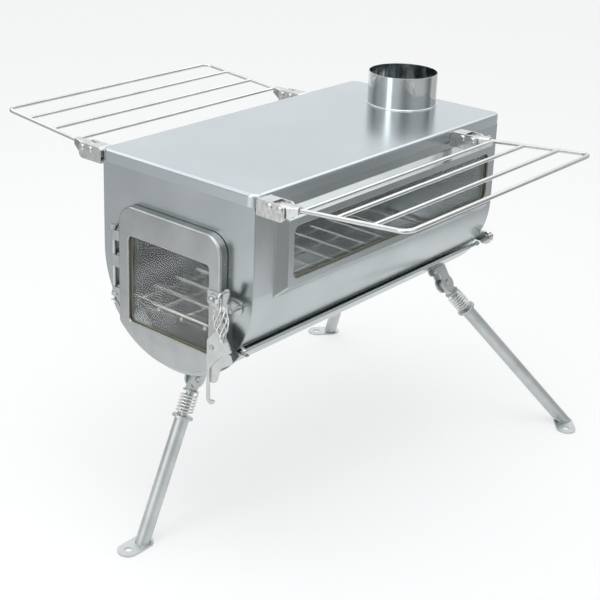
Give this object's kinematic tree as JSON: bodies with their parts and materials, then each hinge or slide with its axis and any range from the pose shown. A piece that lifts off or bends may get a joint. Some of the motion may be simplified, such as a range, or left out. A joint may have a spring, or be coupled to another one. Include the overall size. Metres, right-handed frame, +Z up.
{
  "type": "tent wood stove",
  "caption": "Sheet steel tent wood stove with a round belly, glazed door and side window, folding wire shelves, flue collar and folding spring-locked tripod legs.",
  "frame": {"origin": "floor level, under the middle of the whole stove's plan outline", "axes": "+Z up, -Y towards the door, +X towards the side window; the firebox's middle plane is X = 0"},
  "size_m": [0.6624, 0.7178, 0.5325],
  "materials": {
    "body_steel": "satin sheet steel",
    "lid_steel": "satin sheet steel",
    "door_steel": "satin sheet steel",
    "collar_steel": "polished rolled sheet",
    "leg_steel": "satin zinc-grey tube and plate",
    "spring_steel": "bright wire",
    "wire_steel": "drawn wire, satin bright",
    "fitting_steel": "stamped fittings",
    "grate_steel": "welded wire",
    "glass": "clear ceramic glass",
    "gasket": "woven glass-fibre tape"
  },
  "bodies": {
    "root": {"firebox_shell": "body_steel", "flue_collar": "collar_steel", "front_plate": "body_steel", "grate_feet": "grate_steel", "heat_shield": "body_steel", "hinge_body_knuckles": "fitting_steel", "hinge_nuts": "fitting_steel", "hinge_pin": "fitting_steel", "keeper_pin": "fitting_steel", "latch_keeper": "fitting_steel", "leg_bolts": "leg_steel", "leg_brackets": "leg_steel", "log_grate": "grate_steel", "rear_plate": "body_steel", "rear_strip": "fitting_steel", "shelf_brackets": "fitting_steel", "shelf_pins": "fitting_steel", "shield_clips": "fitting_steel", "shield_edge_rods": "body_steel", "shield_front_lip": "body_steel", "shield_spacers": "body_steel", "top_plate": "lid_steel", "window_clips": "body_steel", "window_frame": "body_steel", "window_gasket": "gasket", "window_glass": "glass", "window_retainer": "body_steel"},
    "door": {"door_gasket": "gasket", "door_glass": "glass", "door_nuts": "body_steel", "door_retainer": "body_steel", "door_rivets": "body_steel", "door_shell": "door_steel", "door_studs": "body_steel", "hinge_door_knuckles": "fitting_steel", "latch_base": "fitting_steel"},
    "latch": {"latch_lever": "fitting_steel", "latch_stem": "wire_steel", "grip_ferrules": "wire_steel", "grip_cage": "wire_steel"},
    "air_lever": {"air_lever": "fitting_steel"},
    "shelf_right": {"shelf_rack_right": "wire_steel", "shelf_hoods_right": "fitting_steel"},
    "shelf_left": {"shelf_rack_left": "wire_steel", "shelf_hoods_left": "fitting_steel"},
    "knob_right": {"thumb_knob_right": "fitting_steel"},
    "knob_left": {"thumb_knob_left": "fitting_steel"},
    "leg_front": {"leg_rod_front": "leg_steel", "leg_spring_front": "spring_steel", "leg_tube_front": "leg_steel", "leg_foot_front": "leg_steel"},
    "leg_right": {"leg_rod_right": "leg_steel", "leg_spring_right": "spring_steel", "leg_tube_right": "leg_steel", "leg_foot_right": "leg_steel"},
    "leg_left": {"leg_rod_left": "leg_steel", "leg_spring_left": "spring_steel", "leg_tube_left": "leg_steel", "leg_foot_left": "leg_steel"}
  },
  "joints": [
    {"name": "door_hinge", "type": "hinge", "parent": "root", "child": "door", "pos_m": [-0.102, -0.27013, 0.345], "axis": [0, 0, -1], "range_deg": [0, 120]},
    {"name": "latch_lift", "type": "hinge", "parent": "door", "child": "latch", "pos_m": [0.0777, -0.28013, 0.35], "axis": [0, -1, 0], "range_deg": [0, 60]},
    {"name": "air_lever_swing", "type": "hinge", "parent": "door", "child": "air_lever", "pos_m": [0.078, -0.27913, 0.288], "axis": [0, -1, 0], "range_deg": [0, 45]},
    {"name": "shelf_right_fold", "type": "hinge", "parent": "root", "child": "shelf_right", "pos_m": [0.165, -0.06, 0.48], "axis": [0, 1, 0], "range_deg": [0, 90]},
    {"name": "shelf_left_fold", "type": "hinge", "parent": "root", "child": "shelf_left", "pos_m": [-0.165, -0.06, 0.48], "axis": [0, -1, 0], "range_deg": [0, 90]},
    {"name": "leg_front_fold", "type": "hinge", "parent": "root", "child": "leg_front", "pos_m": [0, -0.22713, 0.2015], "axis": [1, 0, 0], "range_deg": [0, 110]},
    {"name": "leg_right_fold", "type": "hinge", "parent": "root", "child": "leg_right", "pos_m": [0.08463, 0.20687, 0.22617], "axis": [-0.8434, 0, -0.5373], "range_deg": [0, 110]},
    {"name": "leg_left_fold", "type": "hinge", "parent": "root", "child": "leg_left", "pos_m": [-0.08463, 0.20687, 0.22617], "axis": [-0.8434, 0, 0.5373], "range_deg": [0, 110]},
    {"name": "knob_right_turn", "type": "hinge", "parent": "root", "child": "knob_right", "pos_m": [0.121, 0.24987, 0.298], "axis": [0, 1, 0], "continuous": true},
    {"name": "knob_left_turn", "type": "hinge", "parent": "root", "child": "knob_left", "pos_m": [-0.121, 0.24987, 0.298], "axis": [0, 1, 0], "continuous": true}
  ]
}
